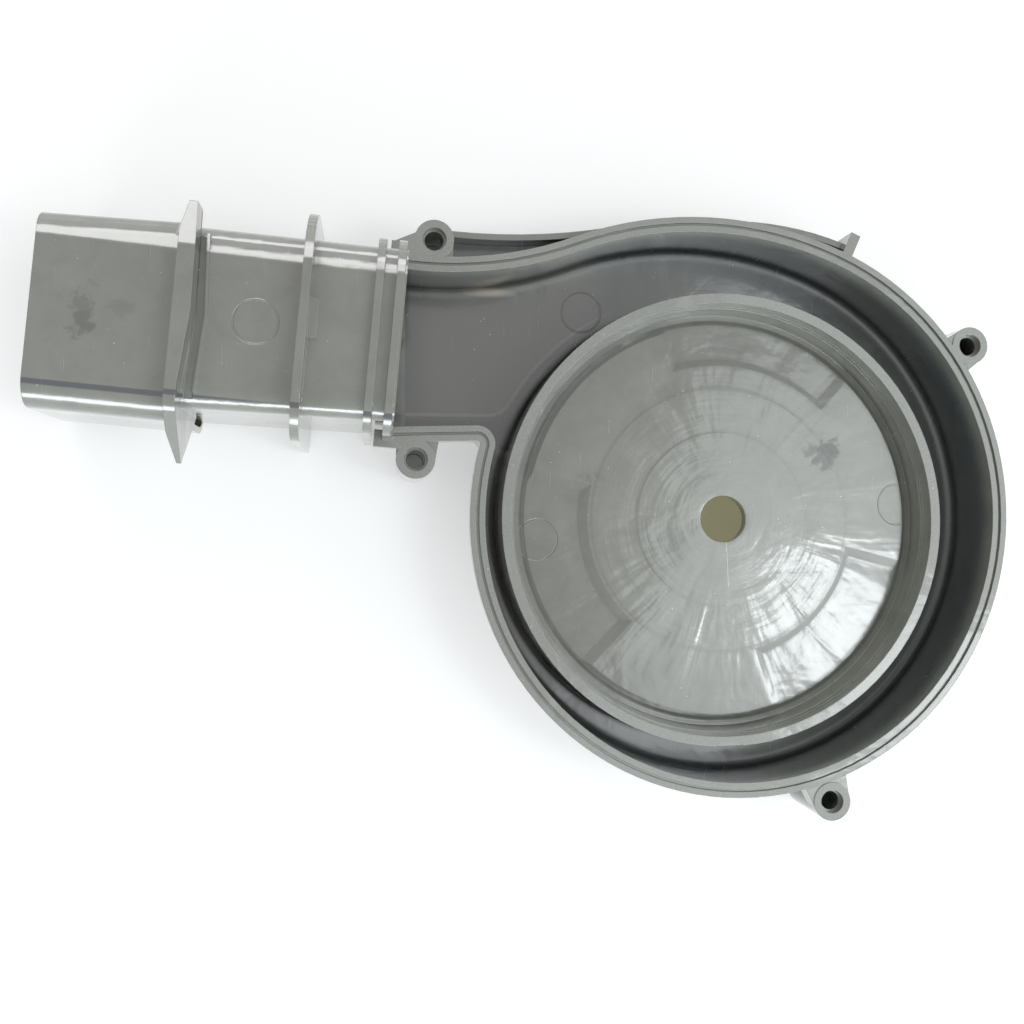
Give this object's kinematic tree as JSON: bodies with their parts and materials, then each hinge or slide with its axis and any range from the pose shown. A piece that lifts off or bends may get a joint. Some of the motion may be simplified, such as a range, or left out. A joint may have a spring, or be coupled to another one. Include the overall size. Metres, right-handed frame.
{
  "type": "vacuum fan scroll housing",
  "caption": "One-piece moulded scroll housing for a vacuum cleaner fan: open scroll trough round a recessed disc with a shaft hole, rectangular outlet duct and screw bosses on the rim.",
  "frame": {"origin": "axis of the shaft hole, in the front face of the hub", "axes": "+Z out of the open side along the shaft; -X towards the outlet duct, which turns five degrees towards +Y"},
  "size_m": [0.2949, 0.1875, 0.0534],
  "materials": {
    "housing": "moulded grey plastic, semi-gloss, with flow marks and light wear"
  },
  "bodies": {
    "root": {"scroll_housing": "housing"}
  },
  "joints": []
}
